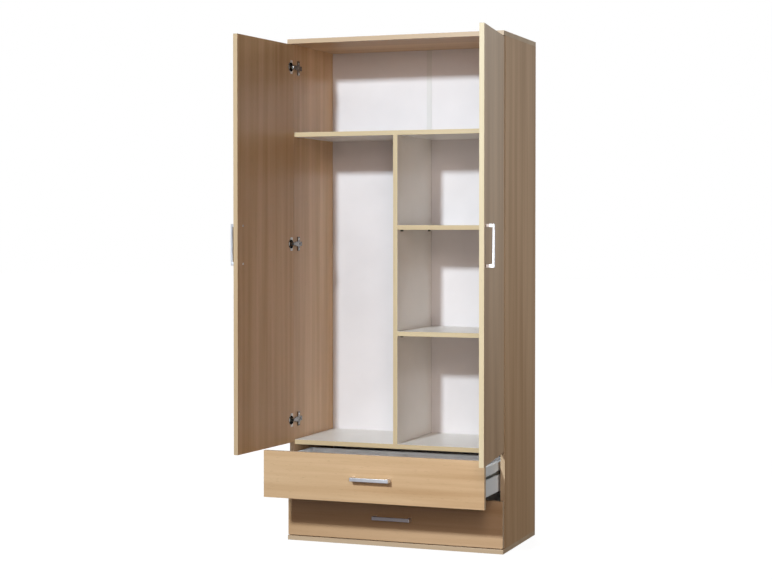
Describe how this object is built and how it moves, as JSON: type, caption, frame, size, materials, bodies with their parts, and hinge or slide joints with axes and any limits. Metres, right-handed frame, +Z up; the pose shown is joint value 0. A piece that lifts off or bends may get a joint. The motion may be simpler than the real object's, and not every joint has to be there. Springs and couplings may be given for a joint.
{
  "type": "broom cupboard",
  "caption": "Tall board cupboard with two hinged doors, divider, shelves and two drawers on ball runners.",
  "frame": {"origin": "centre of the carcass's underside, on the floor", "axes": "+Z up, -Y out of the front, +X to the right as seen from the front"},
  "size_m": [0.928, 0.7809, 1.78],
  "materials": {
    "beech_board": "beech-decor melamine, satin",
    "white_board": "white melamine on board, beech front edge",
    "white_hardboard": "white lacquered hardboard",
    "drawer_foil": "light grey foil on board",
    "white_plastic": "matt",
    "satin_nickel": "satin nickel",
    "zinc_steel": "bright zinc plating",
    "runner_steel": "zinc plated, rolled"
  },
  "bodies": {
    "carcass": {"left_side_panel": "beech_board", "right_side_panel": "beech_board", "top_panel": "beech_board", "bottom_panel": "beech_board", "floor_panel": "white_board", "upper_shelf": "white_board", "divider": "white_board", "upper_small_shelf": "white_board", "lower_small_shelf": "white_board", "left_back_panel": "white_hardboard", "right_back_panel": "white_hardboard", "back_joint_strip": "white_plastic", "upper_shelf_pin_front_left": "zinc_steel", "upper_shelf_pin_front_right": "zinc_steel", "upper_shelf_pin_back_left": "zinc_steel", "upper_shelf_pin_back_right": "zinc_steel", "lower_shelf_pin_front_left": "zinc_steel", "lower_shelf_pin_front_right": "zinc_steel", "lower_shelf_pin_back_left": "zinc_steel", "lower_shelf_pin_back_right": "zinc_steel", "left_hinge_arm_top": "zinc_steel", "left_hinge_arm_middle": "zinc_steel", "left_hinge_arm_bottom": "zinc_steel", "right_hinge_arm_top": "zinc_steel", "right_hinge_arm_middle": "zinc_steel", "right_hinge_arm_bottom": "zinc_steel", "upper_cabinet_rail_left": "runner_steel", "upper_cabinet_rail_right": "runner_steel", "lower_cabinet_rail_left": "runner_steel", "lower_cabinet_rail_right": "runner_steel"},
    "left_door": {"left_door_panel": "beech_board", "left_door_handle": "satin_nickel", "left_hinge_cup_top": "zinc_steel", "left_hinge_cup_middle": "zinc_steel", "left_hinge_cup_bottom": "zinc_steel"},
    "right_door": {"right_door_panel": "beech_board", "right_door_handle": "satin_nickel", "right_hinge_cup_top": "zinc_steel", "right_hinge_cup_middle": "zinc_steel", "right_hinge_cup_bottom": "zinc_steel"},
    "upper_drawer": {"upper_drawer_front": "beech_board", "upper_drawer_left_side": "drawer_foil", "upper_drawer_right_side": "drawer_foil", "upper_drawer_back": "drawer_foil", "upper_drawer_bottom": "white_hardboard", "upper_drawer_handle": "satin_nickel", "upper_drawer_left_rail": "runner_steel", "upper_drawer_right_rail": "runner_steel"},
    "lower_drawer": {"lower_drawer_front": "beech_board", "lower_drawer_left_side": "drawer_foil", "lower_drawer_right_side": "drawer_foil", "lower_drawer_back": "drawer_foil", "lower_drawer_bottom": "white_hardboard", "lower_drawer_handle": "satin_nickel", "lower_drawer_left_rail": "runner_steel", "lower_drawer_right_rail": "runner_steel"},
    "upper_cages": {"upper_ball_cage_left": "zinc_steel", "upper_ball_cage_right": "zinc_steel"},
    "lower_cages": {"lower_ball_cage_left": "zinc_steel", "lower_ball_cage_right": "zinc_steel"}
  },
  "joints": [
    {"name": "left_door_hinge", "type": "hinge", "parent": "carcass", "child": "left_door", "pos_m": [-0.391, -0.192, 1.0545], "axis": [0, 0, -1], "range_deg": [-94.5, 5.5]},
    {"name": "right_door_hinge", "type": "hinge", "parent": "carcass", "child": "right_door", "pos_m": [0.391, -0.192, 1.0545], "axis": [0, 0, 1], "range_deg": [-97.3, 2.7]},
    {"name": "upper_drawer_slide", "type": "slide", "parent": "carcass", "child": "upper_drawer", "axis": [0, -1, 0], "range_m": [-0.209, 0.05]},
    {"name": "lower_drawer_slide", "type": "slide", "parent": "carcass", "child": "lower_drawer", "axis": [0, -1, 0], "range_m": [0, 0.259]},
    {"name": "upper_cages_slide", "type": "slide", "parent": "carcass", "child": "upper_cages", "axis": [0, -1, 0], "range_m": [-0.1045, 0.025]},
    {"name": "lower_cages_slide", "type": "slide", "parent": "carcass", "child": "lower_cages", "axis": [0, -1, 0], "range_m": [0, 0.1295]}
  ],
  "couplings": [
    {"joint": "upper_cages_slide", "follows": "upper_drawer_slide", "ratio": 0.5},
    {"joint": "lower_cages_slide", "follows": "lower_drawer_slide", "ratio": 0.5}
  ]
}
